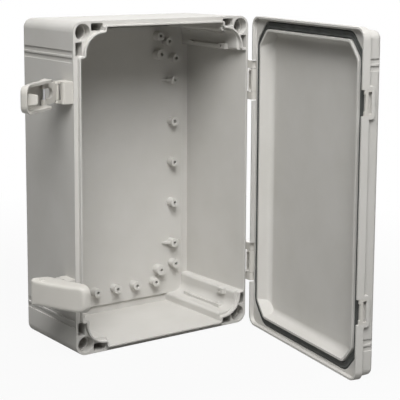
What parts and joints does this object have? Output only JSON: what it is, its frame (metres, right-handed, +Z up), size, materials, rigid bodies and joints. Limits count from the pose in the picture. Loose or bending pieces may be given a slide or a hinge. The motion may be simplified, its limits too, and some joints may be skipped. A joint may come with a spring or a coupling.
{
  "type": "hinged abs enclosure",
  "caption": "Wall-mount plastic enclosure with a deep moulded base, a gasketed lid on side hinges and toggle latches on the free side, shown open.",
  "frame": {"origin": "centre of the flat rear face that goes against the wall", "axes": "+X to the right when facing the open front, +Y into the wall behind, +Z up"},
  "size_m": [0.2565, 0.2742, 0.28],
  "materials": {
    "abs_body": "fine satin mould texture",
    "abs_fittings": "satin",
    "gasket_rubber": "matt",
    "pin_steel": "drawn wire"
  },
  "bodies": {
    "base": {"base": "abs_body", "hinge_bracket_upper": "abs_fittings", "hinge_bracket_lower": "abs_fittings", "hinge_pin_upper": "pin_steel", "hinge_pin_lower": "pin_steel", "latch_bracket_upper": "abs_fittings", "latch_bracket_lower": "abs_fittings", "arm_pin_upper": "pin_steel", "arm_pin_lower": "pin_steel"},
    "lid": {"lid": "abs_body", "gasket": "gasket_rubber", "hinge_leaf_upper": "abs_fittings", "hinge_leaf_lower": "abs_fittings", "keeper_upper": "abs_fittings", "keeper_lower": "abs_fittings"},
    "upper_arm": {"latch_arm_upper": "abs_fittings", "handle_pin_upper": "pin_steel"},
    "upper_handle": {"latch_handle_upper": "abs_fittings"},
    "lower_arm": {"latch_arm_lower": "abs_fittings", "handle_pin_lower": "pin_steel"},
    "lower_handle": {"latch_handle_lower": "abs_fittings"}
  },
  "joints": [
    {"name": "lid_hinge", "type": "hinge", "parent": "base", "child": "lid", "pos_m": [0.0936, -0.0924, 0], "axis": [0, 0, 1], "range_deg": [-79.2, 100.8]},
    {"name": "upper_arm_swing", "type": "hinge", "parent": "base", "child": "upper_arm", "pos_m": [-0.0985, -0.075, 0.0825], "axis": [0, 0, 1], "range_deg": [-114, 8]},
    {"name": "upper_handle_swing", "type": "hinge", "parent": "upper_arm", "child": "upper_handle", "pos_m": [-0.11449, -0.08212, 0.0825], "axis": [0, 0, -1], "range_deg": [-166.1, 11.8]},
    {"name": "lower_arm_swing", "type": "hinge", "parent": "base", "child": "lower_arm", "pos_m": [-0.0985, -0.075, -0.0825], "axis": [0, 0, 1], "range_deg": [-100, 15]},
    {"name": "lower_handle_swing", "type": "hinge", "parent": "lower_arm", "child": "lower_handle", "pos_m": [-0.11573, -0.07804, -0.0825], "axis": [0, 0, -1], "range_deg": [-80.6, 12.2]}
  ],
  "couplings": [
    {"joint": "upper_handle_swing", "follows": "upper_arm_swing", "ratio": 1.4561},
    {"joint": "lower_handle_swing", "follows": "lower_arm_swing", "ratio": 0.805}
  ]
}
